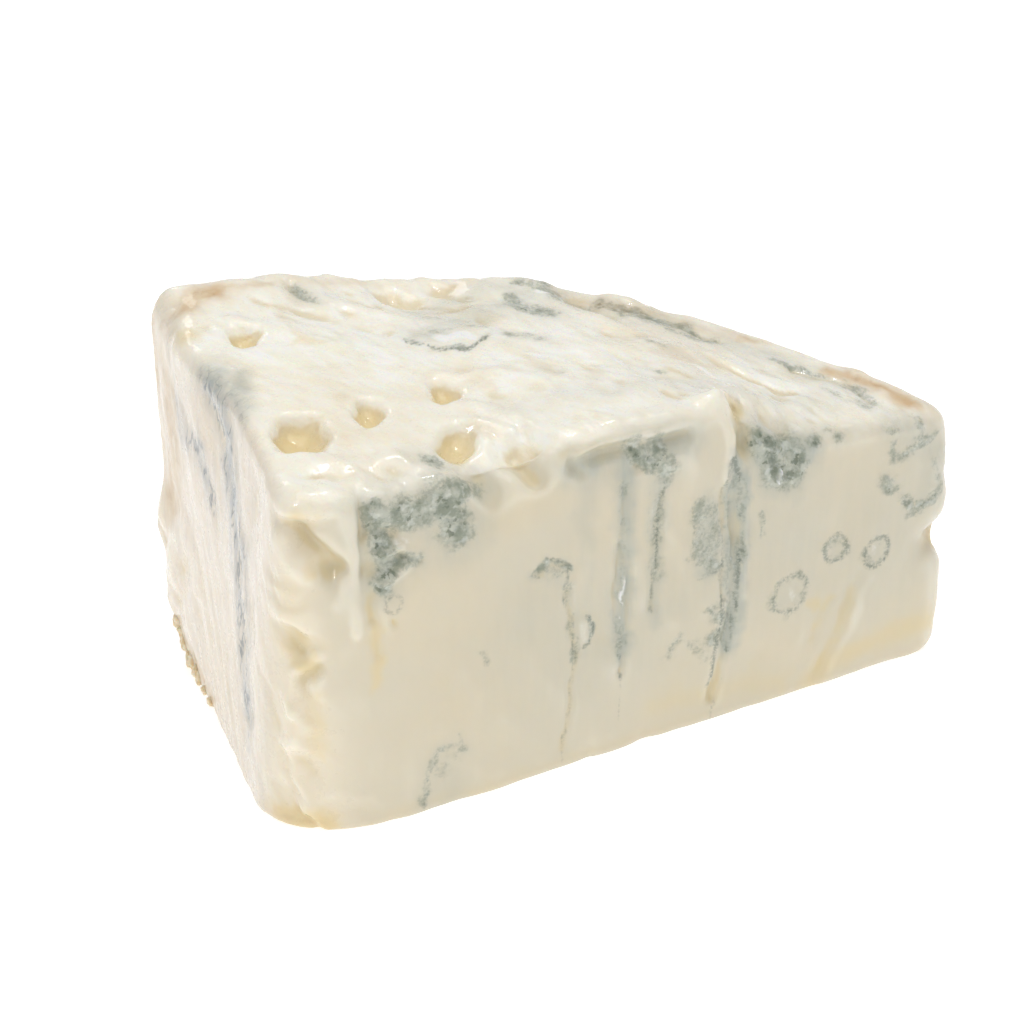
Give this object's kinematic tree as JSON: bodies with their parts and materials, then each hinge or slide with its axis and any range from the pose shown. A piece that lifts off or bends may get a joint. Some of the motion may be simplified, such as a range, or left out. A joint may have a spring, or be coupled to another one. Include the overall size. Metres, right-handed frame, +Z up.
{
  "type": "blue cheese wedge",
  "caption": "Wedge of soft blue-veined cheese with a blunt tip, curved rind back and a torn top cut with holes, resting flat on its underside.",
  "frame": {"origin": "on the flat underside, below the middle of the wedge's box", "axes": "+X along the long cut face from the blunt tip to the far end, +Y from the long cut face to the rind, +Z up"},
  "size_m": [0.1608, 0.09, 0.0882],
  "materials": {
    "paste": null
  },
  "bodies": {
    "root": {"blue_cheese_wedge": "paste"}
  },
  "joints": []
}
